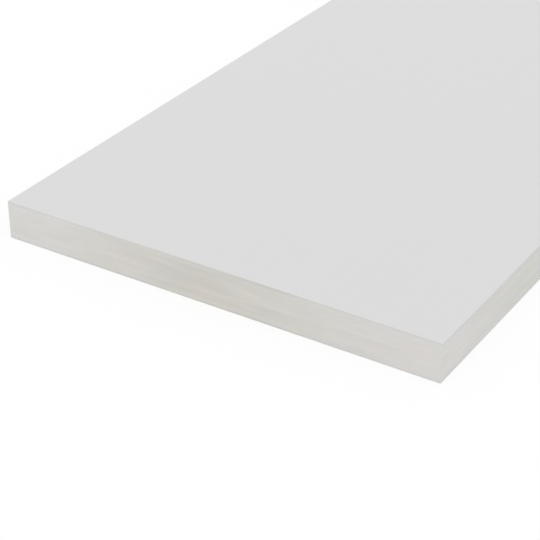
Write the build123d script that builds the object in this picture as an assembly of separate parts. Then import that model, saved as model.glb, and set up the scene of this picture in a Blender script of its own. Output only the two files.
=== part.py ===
from build123d import *
import os

# A cellular PVC trim board: one flat, square-edged length of stock, lying on its back face.
# The length runs along X, the width along Y and the thickness along Z, in millimetres.
# The origin lies on the floor, under the middle of the board.

# The planed size of a nominal five-eighths by eight inch board, in an eight foot length.
LENGTH = 2438.4
WIDTH = 184.15
THICKNESS = 15.875

# The long edges leave the planer with a hairline rounding.
LONG_ARRIS_RADIUS = 0.4
# The saw leaves the ends crisp, with only their sharpness taken off.
END_ARRIS_CHAMFER = 0.15


def trim_board():
    """A bar of the board's rounded section, with the rim of each sawn end broken."""
    near_end = Plane.YZ.offset(-LENGTH / 2)
    with BuildPart() as board:
        with BuildSketch(near_end):
            with Locations((0, THICKNESS / 2)):
                RectangleRounded(WIDTH, THICKNESS, LONG_ARRIS_RADIUS)
        extrude(amount=LENGTH)
        along_length = board.faces().sort_by(Axis.X)
        end_rims = along_length[0].edges() + along_length[-1].edges()
        # The rounding of the long edges has to outlast the cut round the end.
        chamfer(end_rims, min(END_ARRIS_CHAMFER, LONG_ARRIS_RADIUS / 2))
    return board.part


os.makedirs("parts", exist_ok=True)
export_step(trim_board(), "parts/trim_board.step")
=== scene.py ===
import math
from typing import NamedTuple

import bmesh
import bpy
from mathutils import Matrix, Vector, noise


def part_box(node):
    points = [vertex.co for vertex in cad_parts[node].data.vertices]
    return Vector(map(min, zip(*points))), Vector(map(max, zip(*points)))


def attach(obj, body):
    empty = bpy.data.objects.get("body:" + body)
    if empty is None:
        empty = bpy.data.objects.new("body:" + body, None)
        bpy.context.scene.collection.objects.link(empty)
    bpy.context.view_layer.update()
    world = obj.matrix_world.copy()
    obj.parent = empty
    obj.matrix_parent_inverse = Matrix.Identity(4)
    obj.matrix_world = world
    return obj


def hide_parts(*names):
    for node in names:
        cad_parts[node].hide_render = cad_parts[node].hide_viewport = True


# A white cellular PVC trim board, lying on a pale studio floor. The length runs along X, the width along Y
# and the thickness along Z, in metres. The photograph shows the end at low X and the edge at low Y.

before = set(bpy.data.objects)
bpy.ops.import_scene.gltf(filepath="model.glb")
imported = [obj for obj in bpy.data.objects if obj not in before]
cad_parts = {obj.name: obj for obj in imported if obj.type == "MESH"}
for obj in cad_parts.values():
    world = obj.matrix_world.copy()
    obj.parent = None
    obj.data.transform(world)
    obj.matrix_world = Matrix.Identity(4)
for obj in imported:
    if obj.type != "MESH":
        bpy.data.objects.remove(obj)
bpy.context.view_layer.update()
LOW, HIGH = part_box("trim_board")
SIZE = HIGH - LOW
MIDDLE = (LOW + HIGH) / 2
X, Y, Z = 0, 1, 2
MM = 0.001
MICRON = 0.000001

# The board's eased edges, as in its source
LONG_ARRIS = 0.4 * MM
LONG_ARRIS_FACETS = 4
END_ARRIS = 0.15 * MM

# The net of the mesh is fine across the sawn ends and coarse along the length. A loop of edges close beside
# each easing holds the shading of the flat sides.
NET_ALONG = 40 * MM
NET_ACROSS = 1.3 * MM
NET_UP = 1.0 * MM
HOLDING_LOOP = 0.1 * MM
SHARP_FROM = math.radians(30)
TOUCH = 0.01 * MM

# The cut-off saw passes along the width, and its teeth score shallow arcs on the ends, wide and narrow.
BLADE_RADIUS = 225 * MM
BLADE_AXIS_HEIGHT = 224 * MM
SCORE_DEPTH = 0.05 * MM
SCORE_FADE = 1.6 * MM
WIDE_SCORE_PITCH = 17 * MM
WIDE_SCORE_SHARE = 0.3
NARROW_SCORE_PITCH = 6.5 * MM
NARROW_SCORE_SHARE = 0.2

# The calibrating plates leave the front face very slightly wavy.
WAVE_DEPTH = 0.04 * MM
WAVE_ACROSS = 35 * MM
WAVE_ALONG = 450 * MM
WAVE_FADE = 8 * MM


# Shader writing


class Value:
    """A number, colour or vector in a shader. Arithmetic on numbers adds the Math nodes that work it out."""

    def __init__(self, shader, socket):
        self.shader = shader
        self.socket = socket

    def output(self, name):
        """Another output of the node that this value comes from."""
        return Value(self.shader, self.socket.node.outputs[name])

    def __add__(self, other):
        return self.shader.maths("ADD", self, other)

    def __radd__(self, other):
        return self.shader.maths("ADD", other, self)

    def __sub__(self, other):
        return self.shader.maths("SUBTRACT", self, other)

    def __rsub__(self, other):
        return self.shader.maths("SUBTRACT", other, self)

    def __mul__(self, other):
        return self.shader.maths("MULTIPLY", self, other)

    def __rmul__(self, other):
        return self.shader.maths("MULTIPLY", other, self)


class Marking(NamedTuple):
    """A marking on a surface: its pattern's size and detail, and what it adds where the pattern is 1."""

    size: tuple | float
    detail: float = 2.0
    tone: float = 0.0
    cream: float = 0.0
    roughness: float = 0.0
    height: float = 0.0


def total(layers, quality, start):
    """Adds to a start what every layer does to one quality. A layer is a pattern and its marking."""
    for pattern, marking in layers:
        strength = getattr(marking, quality)
        if strength:
            start = start + pattern * strength
    return start


class Shader:
    """The nodes of one material, or of the world."""

    def __init__(self, owner):
        owner.use_nodes = True
        self.tree = owner.node_tree
        self.tree.nodes.clear()

    def node(self, kind, settings=(), sockets=()):
        """Adds a node with its settings, then fills its sockets, each by name or number."""
        made = self.tree.nodes.new(kind)
        for name, setting in dict(settings).items():
            setattr(made, name, setting)
        for name, content in dict(sockets).items():
            if isinstance(content, Value):
                self.tree.links.new(content.socket, made.inputs[name])
            else:
                made.inputs[name].default_value = content
        return Value(self, made.outputs[0]) if made.outputs else None

    def maths(self, operation, *numbers):
        return self.node("ShaderNodeMath", {"operation": operation}, dict(enumerate(numbers)))

    def place(self):
        """The point that is shaded: along the board, across it and up it, in metres."""
        spot = self.node("ShaderNodeTexCoord").output("Object")
        parts = self.node("ShaderNodeSeparateXYZ", sockets={"Vector": spot})
        return parts.output("X"), parts.output("Y"), parts.output("Z")

    def stretched(self, spot, lump):
        """A point measured in lumps of the given size along each coordinate."""
        counts = [along * (1 / size) for along, size in zip(spot, lump)]
        return self.node("ShaderNodeCombineXYZ", sockets=dict(zip("XYZ", counts)))

    def cloud(self, spot, marking):
        """Soft noise about 0, mostly within 0.2 of it, in lumps of the marking's size."""
        lumps = self.stretched(spot, marking.size)
        sockets = {"Vector": lumps, "Scale": 1.0, "Detail": marking.detail}
        return self.node("ShaderNodeTexNoise", {"noise_dimensions": "3D"}, sockets) - 0.5

    def rise(self, number, low, high):
        """0 up to low, then smoothly to 1 at high."""
        settings = {"interpolation_type": "SMOOTHSTEP"}
        sockets = {"Value": number, "From Min": low, "From Max": high}
        return self.node("ShaderNodeMapRange", settings, sockets)

    def mix(self, share, first, second):
        """A colour that goes from the first to the second. The node's colour sockets share their names."""
        settings = {"data_type": "RGBA", "clamp_factor": True}
        made = self.node("ShaderNodeMix", settings, {0: share, 6: (*first, 1), 7: (*second, 1)})
        return made.output(2)

    def shade(self, colour, tone):
        """A colour made lighter or darker by a number."""
        return self.node("ShaderNodeVectorMath", {"operation": "SCALE"}, {0: colour, "Scale": tone})

    def tint(self, colour, other):
        """A colour multiplied by another."""
        return self.node("ShaderNodeVectorMath", {"operation": "MULTIPLY"}, {0: colour, 1: other})

    def plastic(self, colour, roughness, gloss, layers):
        """Ends a material in one plastic surface, with layers of markings on it."""
        height = total(layers, "height", 0)
        bump = self.node("ShaderNodeBump", sockets={"Height": height, "Distance": 1.0, "Strength": 1.0})
        sockets = {
            "Base Color": self.shade(colour, total(layers, "tone", 1)),
            "Roughness": total(layers, "roughness", roughness),
            "Normal": bump,
            "Specular IOR Level": gloss,
        }
        surface = self.node("ShaderNodeBsdfPrincipled", sockets=sockets)
        self.node("ShaderNodeOutputMaterial", sockets={"Surface": surface})


# The finishes of the board

SKIN_WHITE = (0.711, 0.711, 0.711)
EDGE_PALE = (0.735, 0.718, 0.694)
EDGE_DEEP = (0.692, 0.691, 0.652)
END_PALE = (0.760, 0.742, 0.718)
END_DEEP = (0.690, 0.667, 0.620)
ROSY = (1.012, 0.996, 0.992)
LEAFY = (0.988, 1.004, 1.000)
UNTINTED = (1.000, 1.000, 1.000)
COOL = (1.000, 1.008, 1.028)
SKIN_ROUGHNESS = 0.43
EDGE_ROUGHNESS = 0.58
END_ROUGHNESS = 0.66
SKIN_GLOSS = 0.5
CUT_GLOSS = 0.25

# Each cut is coloured palest near the corners: a planed edge near the ends, and a sawn end near the two
# edges.
PALE_REACH = 80 * MM
CREAM_FROM_LEFT = 100 * MM
CREAM_FROM_RIGHT = 106 * MM

# The die draws the skin of the faces lengthways, and the plates stipple it faintly.
DIE_LINE = Marking((600 * MM, 3 * MM, 6.5 * MM), detail=3.0, tone=0.012, height=5 * MICRON)
SKIN_DRIFT = Marking((200 * MM, 45 * MM, 6.5 * MM), tone=0.012, roughness=0.12)
STIPPLE = Marking((0.7 * MM, 0.7 * MM, 0.7 * MM), tone=0.010, roughness=0.16, height=4 * MICRON)

# A marking's size square to a cut only keeps one end or edge from looking like the other.
APART = 65 * MM

# The planer leaves knife marks across the long edges, and drag lines along them.
KNIFE_MARK = Marking(2 * MM, tone=0.003, height=2 * MICRON)
KNIFE_WAVER = Marking((13 * MM, APART, 6.5 * MM))
WAVER_RADIANS = 6
DRAG_LINE = Marking(
    (22 * MM, APART, 1.6 * MM), detail=4.0, tone=0.22, cream=1.0, roughness=0.15, height=10 * MICRON
)
EDGE_PATCH = Marking((9 * MM, APART, 6.5 * MM), tone=0.11, cream=0.8)

# The foam's beds show on the ends as streaks along the width, down to a faint share of their strength at the
# two edges. The saw leaves tooth lines there. Sizes on an end run along the width, or from arc to arc of the
# saw, then up the end, then square to it.
FOAM_STREAK = Marking(
    (28 * MM, 2.4 * MM, APART), detail=4.0, tone=0.24, cream=-0.6, roughness=0.15, height=10 * MICRON
)
FAINT_STREAK = 0.45
TOOTH_LINE = Marking((2 * MM, 13 * MM, APART), tone=0.03, height=8 * MICRON)
END_PATCH = Marking((9 * MM, 6.5 * MM, APART), tone=0.10, cream=0.8)
# Painted shade: an end is coloured darker on its broken corners beside the long edges, where the softbox
# lights them.
END_CORNER_PAINTED_SHADE = Marking(2 * END_ARRIS, tone=-0.04)

# Both cuts open the cells of the foam, look faintly marbled, and are darker in a thin band beside each face.
# Beside the skin the foam is denser, with less cream in it. The rim of a cell lies between two shares of its
# size from its middle.
CELL = (0.45 * MM, 0.45 * MM, 0.45 * MM)
CELL_RIM_FROM = 0.12
CELL_RIM_TO = 0.34
EDGE_CELL = Marking(CELL, tone=-0.05, roughness=0.2, height=-13 * MICRON)
END_CELL = Marking(CELL, tone=-0.06, roughness=0.2, height=-20 * MICRON)
MARBLING = Marking((8.5 * MM, 8.5 * MM, 5 * MM))
MARBLING_CONTRAST = 3.0
# A thin darker band beside each face, at the top and the bottom of a cut
DARK_FACE_BAND = Marking(1.0 * MM, tone=-0.045)
DENSE_FOAM = Marking(2.2 * MM)


def extruded_skin():
    """The two faces: a dense satin skin."""
    material = bpy.data.materials.new("extruded_skin")
    shader = Shader(material)
    place = shader.place()
    layers = [(shader.cloud(place, marking), marking) for marking in (DIE_LINE, SKIN_DRIFT, STIPPLE)]
    shader.plastic(SKIN_WHITE, SKIN_ROUGHNESS, SKIN_GLOSS, layers)
    return material


def nearest(shader, place, axis):
    """How far a point is inside the board's box along one axis."""
    return shader.maths("MINIMUM", place[axis] - LOW[axis], HIGH[axis] - place[axis])


def border(shader, place, axis, marking):
    """1 beside the two sides across an axis, fading to 0 at the marking's size from them."""
    return 1 - shader.rise(nearest(shader, place, axis), marking.size / 2, marking.size)


def open_cells(shader, place, marking):
    """1 in the cells that a cut opens in the foam, and 0 on the walls between them."""
    sockets = {"Vector": shader.stretched(place, marking.size), "Scale": 1.0}
    from_middle = shader.node("ShaderNodeTexVoronoi", {"feature": "F1"}, sockets)
    return 1 - shader.rise(from_middle, CELL_RIM_FROM, CELL_RIM_TO)


def foam_white(shader, place, cream, pale, deep):
    """The cut foam's white: from a pale one to a deeper one, marbled, and cooler beside the skins."""
    marbling = 0.5 + shader.cloud(place, MARBLING) * MARBLING_CONTRAST
    white = shader.tint(shader.mix(cream, pale, deep), shader.mix(marbling, ROSY, LEAFY))
    return shader.tint(white, shader.mix(border(shader, place, Z, DENSE_FOAM), UNTINTED, COOL))


def knife_marks(shader, place):
    """Waves along the board, from -1 to 1, which waver a little."""
    waver = shader.cloud(place, KNIFE_WAVER) * WAVER_RADIANS
    return shader.maths("SINE", place[X] * (2 * math.pi / KNIFE_MARK.size) + waver)


def planed_edge():
    """The long edges: planed foam, deeper in colour away from the ends."""
    material = bpy.data.materials.new("planed_edge")
    shader = Shader(material)
    place = shader.place()
    layers = [
        (knife_marks(shader, place), KNIFE_MARK),
        (shader.cloud(place, DRAG_LINE), DRAG_LINE),
        (shader.cloud(place, EDGE_PATCH), EDGE_PATCH),
        (open_cells(shader, place, EDGE_CELL), EDGE_CELL),
        (border(shader, place, Z, DARK_FACE_BAND), DARK_FACE_BAND),
    ]
    inward = shader.rise(nearest(shader, place, X), 0, PALE_REACH)
    white = foam_white(shader, place, total(layers, "cream", inward), EDGE_PALE, EDGE_DEEP)
    shader.plastic(white, EDGE_ROUGHNESS, CUT_GLOSS, layers)
    return material


def sawn_end():
    """The ends: sawn foam, creamier and more streaked towards mid-width, with painted shade at the corners.
    """
    material = bpy.data.materials.new("sawn_end")
    shader = Shader(material)
    place = shader.place()
    x, y, z = place
    from_left = (HIGH.y - y) * (1 / CREAM_FROM_LEFT)
    from_right = (y - LOW.y) * (1 / CREAM_FROM_RIGHT)
    inward = shader.rise(shader.maths("MINIMUM", from_left, from_right), 0, 1)
    strength = FAINT_STREAK + inward * (1 - FAINT_STREAK)
    drop = BLADE_AXIS_HEIGHT + LOW.z - z
    arc = y + shader.maths("SQRT", BLADE_RADIUS**2 - drop * drop)
    layers = [
        (shader.cloud((y, z, x), FOAM_STREAK) * strength, FOAM_STREAK),
        (shader.cloud((arc, z, x), TOOTH_LINE), TOOTH_LINE),
        (shader.cloud((y, z, x), END_PATCH), END_PATCH),
        (open_cells(shader, place, END_CELL), END_CELL),
        (border(shader, place, Z, DARK_FACE_BAND), DARK_FACE_BAND),
        # Painted shade on the broken corners beside the long edges
        (border(shader, place, Y, END_CORNER_PAINTED_SHADE), END_CORNER_PAINTED_SHADE),
    ]
    white = foam_white(shader, place, total(layers, "cream", inward), END_PALE, END_DEEP)
    shader.plastic(white, END_ROUGHNESS, CUT_GLOSS, layers)
    return material


# The board


def block():
    """A plain block of the board's size, in its place."""
    work = bmesh.new()
    bmesh.ops.create_cube(work, size=1.0)
    bmesh.ops.scale(work, vec=SIZE, verts=work.verts)
    bmesh.ops.translate(work, vec=MIDDLE, verts=work.verts)
    return work


def ease(work, edges, offset, facets):
    """Takes the sharpness off some edges."""
    bmesh.ops.bevel(
        work, geom=edges, offset=offset, segments=facets, profile=0.5, affect="EDGES", material=-1
    )


def runs_lengthways(edge):
    start, end = edge.verts
    return abs(end.co.x - start.co.x) > SIZE.x / 2


def touches(spot, axis, level):
    return abs(spot[axis] - level) < TOUCH


def rims_an_end(edge):
    return any(all(touches(vert.co, X, level) for vert in edge.verts) for level in (LOW.x, HIGH.x))


def slice_all_round(work, axis, inset, step):
    """Cuts the block all round, in an even number of steps from one inset to the other along an axis."""
    low = LOW[axis] + inset
    high = HIGH[axis] - inset
    count = 2 * round((high - low) / step / 2)
    normal = Vector((0, 0, 0))
    normal[axis] = 1
    for cut in range(count + 1):
        place = low + (high - low) * cut / count
        everything = work.verts[:] + work.edges[:] + work.faces[:]
        bmesh.ops.bisect_plane(
            work, geom=everything, dist=TOUCH / 10, plane_co=normal * place, plane_no=normal
        )


def fade_in(distance, reach):
    """0 at an edge, rising smoothly to 1 at its reach."""
    share = min(max(distance / reach, 0), 1)
    return share * share * (3 - 2 * share)


def inside_by(spot, *axes):
    """How far a point is inside the board's box along these axes."""
    return min(min(spot[axis] - LOW[axis], HIGH[axis] - spot[axis]) for axis in axes)


def saw_score(spot):
    """How deep the saw's teeth have scored an end, in arcs side by side along the width."""
    drop = BLADE_AXIS_HEIGHT + LOW.z - spot.z
    arc = spot.y + math.sqrt(BLADE_RADIUS**2 - drop**2)
    wide = WIDE_SCORE_SHARE * noise.noise((arc / WIDE_SCORE_PITCH, spot.x, 0))
    narrow = NARROW_SCORE_SHARE * noise.noise((arc / NARROW_SCORE_PITCH, spot.x, 0))
    return SCORE_DEPTH * (0.5 + wide + narrow) * fade_in(inside_by(spot, Y, Z), SCORE_FADE)


def plate_wave(spot):
    """How far the front face dips below the board's full thickness."""
    dip = 0.5 + 0.5 * noise.noise((spot.x / WAVE_ALONG, spot.y / WAVE_ACROSS, 0))
    return WAVE_DEPTH * dip * fade_in(inside_by(spot, X, Y), WAVE_FADE)


def cut_relief(work):
    """Scores the ends and waves the front face, always inwards. The face on the floor stays flat."""
    for vert in work.verts:
        if touches(vert.co, X, LOW.x):
            vert.co.x += saw_score(vert.co)
        elif touches(vert.co, X, HIGH.x):
            vert.co.x -= saw_score(vert.co)
        elif touches(vert.co, Z, HIGH.z):
            vert.co.z -= plate_wave(vert.co)


def put_in_order(work):
    """Sorts the faces by their corners, because slicing leaves them in another order each time."""
    work.verts.index_update()
    count = len(work.verts)

    def rank(face):
        low, middle, high = sorted(vert.index for vert in face.verts)[:3]
        return (low * count + middle) * count + high

    work.faces.sort(key=rank)


def board_shape():
    """The board as it left the works: its long edges eased, its ends scored and their rims broken."""
    work = block()
    ease(work, [edge for edge in work.edges if runs_lengthways(edge)], LONG_ARRIS, LONG_ARRIS_FACETS)
    ease(work, [edge for edge in work.edges if rims_an_end(edge)], END_ARRIS, 1)
    slice_all_round(work, Z, LONG_ARRIS + HOLDING_LOOP, NET_UP)
    slice_all_round(work, Y, LONG_ARRIS + HOLDING_LOOP, NET_ACROSS)
    slice_all_round(work, X, END_ARRIS + HOLDING_LOOP, NET_ALONG)
    put_in_order(work)
    cut_relief(work)
    bmesh.ops.recalc_face_normals(work, faces=work.faces)
    for edge in work.edges:
        edge.smooth = edge.calc_face_angle(0) < SHARP_FROM
    return work


# A mesh face is on an end or on a broad face of the board where its normal leans this far that way.
END_LEAN = 0.5
BROAD_LEAN = 0.9

# The finish of each side, by its number in the mesh
FINISHES = {"front": 0, "back": 0, "right": 1, "left": 1, "end": 2}

# The board unfolds into strips, one above another on a square sheet, with these heights in pixels. Each side
# has one strip for its near half and one for its far half.
SHEET_PIXELS = 1024
STRIP_PIXELS = {"front": 190, "back": 100, "right": 45, "left": 45, "end": 110}
STRIP_GAP = 4


def side_of(face):
    """Which side of the board a face of the mesh is on."""
    if abs(face.normal.x) > END_LEAN:
        return "end"
    if abs(face.normal.z) > BROAD_LEAN:
        return "front" if face.normal.z > 0 else "back"
    return "left" if face.normal.y > 0 else "right"


def strip_feet():
    """Where each strip starts on the sheet, in pixels."""
    feet = {}
    foot = STRIP_GAP
    for side, height in STRIP_PIXELS.items():
        for half in ("near", "far"):
            feet[side, half] = foot
            foot += height + STRIP_GAP
    return feet


def unfold(work):
    """Lays the mesh out on the sheet, so that the finishes keep their detail when they are baked."""
    sheet = work.loops.layers.uv.new("OFBake")
    feet = strip_feet()
    width = SHEET_PIXELS - 2 * STRIP_GAP
    for face in work.faces:
        side = side_of(face)
        half = "near" if face.calc_center_median().x < MIDDLE.x else "far"
        up = Y if side in ("front", "back") else Z
        start = LOW.x if half == "near" else MIDDLE.x
        for loop in face.loops:
            spot = loop.vert.co
            along = (spot.y - LOW.y) / SIZE.y if side == "end" else (spot.x - start) / (SIZE.x / 2)
            across = (spot[up] - LOW[up]) / SIZE[up]
            u = STRIP_GAP + along * width
            v = feet[side, half] + across * STRIP_PIXELS[side]
            loop[sheet].uv = (u / SHEET_PIXELS, v / SHEET_PIXELS)


def finished_board():
    """The board with its finishes, in place of the plain solid."""
    work = board_shape()
    unfold(work)
    for face in work.faces:
        face.smooth = True
        face.material_index = FINISHES[side_of(face)]
    mesh = bpy.data.meshes.new("finished_board")
    work.to_mesh(mesh)
    work.free()
    for finish in (extruded_skin(), planed_edge(), sawn_end()):
        mesh.materials.append(finish)
    board = bpy.data.objects.new("finished_board", mesh)
    bpy.context.scene.collection.objects.link(board)
    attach(board, "root")
    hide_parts("trim_board")


# The studio

# How bright each light makes a white face that is open to it, where 1 shows as full white
DOME = 0.85
SOFTBOX = 0.17
SOFTBOX_SPREAD = math.radians(50)
SOFTBOX_AZIMUTH = math.radians(-45)
SOFTBOX_ELEVATION = math.radians(50)
FLOOR_LIGHT = DOME + SOFTBOX * math.sin(SOFTBOX_ELEVATION)

# The floor lights the board as a pale one does. In view it glows up to full white, and keeps a share of the
# board's shadow.
FLOOR_WIDTH = 160.0
FLOOR_PALE = 0.8
SHADOW_SHARE = 0.2


def in_view(shader):
    """1 for the rays that show the studio itself: to the camera, in a gloss or through a clear thing."""
    path = shader.node("ShaderNodeLightPath")
    seen = path.output("Is Camera Ray")
    for kind in ("Glossy", "Transmission"):
        seen = shader.maths("MAXIMUM", seen, path.output(f"Is {kind} Ray"))
    return seen


def studio_floor():
    """A pale floor that shows white, with the board's shadow on it."""
    work = bmesh.new()
    bmesh.ops.create_grid(work, x_segments=1, y_segments=1, size=FLOOR_WIDTH / 2)
    bmesh.ops.translate(work, vec=(0, 0, LOW.z), verts=work.verts)
    mesh = bpy.data.meshes.new("studio_floor")
    work.to_mesh(mesh)
    work.free()
    material = bpy.data.materials.new("pale_floor")
    shader = Shader(material)
    pale = shader.node("ShaderNodeBsdfDiffuse", sockets={"Color": (FLOOR_PALE,) * 3 + (1,)})
    shadow = shader.node("ShaderNodeBsdfDiffuse", sockets={"Color": (SHADOW_SHARE,) * 3 + (1,)})
    white = shader.node("ShaderNodeEmission", sockets={"Strength": 1 - SHADOW_SHARE * FLOOR_LIGHT})
    shown = shader.node("ShaderNodeAddShader", sockets={0: shadow, 1: white})
    surface = shader.node("ShaderNodeMixShader", sockets={0: in_view(shader), 1: pale, 2: shown})
    shader.node("ShaderNodeOutputMaterial", sockets={"Surface": surface})
    mesh.materials.append(material)
    floor = bpy.data.objects.new("studio_floor", mesh)
    bpy.context.scene.collection.objects.link(floor)


def outward(azimuth, elevation):
    """The direction from the board to what stands round it: azimuth 0 is -Y and -90 degrees is -X."""
    level = math.cos(elevation)
    return Vector((math.sin(azimuth) * level, -math.cos(azimuth) * level, math.sin(elevation)))


def studio_light():
    """An even dome, and a wide, far softbox above the corner between the near end and the right edge."""
    world = bpy.data.worlds.new("studio_dome")
    shader = Shader(world)
    strength = DOME + in_view(shader) * (1 - DOME)
    dome = shader.node("ShaderNodeBackground", sockets={"Color": (1, 1, 1, 1), "Strength": strength})
    shader.node("ShaderNodeOutputWorld", sockets={"Surface": dome})
    bpy.context.scene.world = world
    light = bpy.data.lights.new("softbox", "SUN")
    light.angle = SOFTBOX_SPREAD
    light.energy = SOFTBOX * math.pi
    softbox = bpy.data.objects.new("softbox", light)
    bpy.context.scene.collection.objects.link(softbox)
    towards = outward(SOFTBOX_AZIMUTH, SOFTBOX_ELEVATION)
    softbox.rotation_euler = (-towards).to_track_quat("-Z", "Y").to_euler()


# The photograph's viewpoint, from the foot of the near end's left corner, and its focal length in pixels
VIEW_BEHIND = 414.9 * MM
VIEW_ASIDE = 379.0 * MM
VIEW_ABOVE = 315.0 * MM
VIEW_AZIMUTH = math.radians(-57.75)
VIEW_ELEVATION = math.radians(30.78)
FOCAL_PIXELS = 1664.3
FRAME_PIXELS = 540
SENSOR_MM = 36
NEAR_CLIP = 10 * MM


def photograph_camera():
    """A level camera where the photograph was taken from."""
    lens = bpy.data.cameras.new("photograph_camera")
    lens.sensor_width = SENSOR_MM
    lens.lens = FOCAL_PIXELS / FRAME_PIXELS * SENSOR_MM
    lens.clip_start = NEAR_CLIP
    lens.clip_end = FLOOR_WIDTH
    camera = bpy.data.objects.new("photograph_camera", lens)
    bpy.context.scene.collection.objects.link(camera)
    camera.location = (LOW.x - VIEW_BEHIND, HIGH.y - VIEW_ASIDE, LOW.z + VIEW_ABOVE)
    looking = -outward(VIEW_AZIMUTH, VIEW_ELEVATION)
    camera.rotation_euler = looking.to_track_quat("-Z", "Y").to_euler()
    bpy.context.scene.camera = camera


bpy.context.scene.view_settings.view_transform = "Standard"
finished_board()
studio_floor()
studio_light()
photograph_camera()
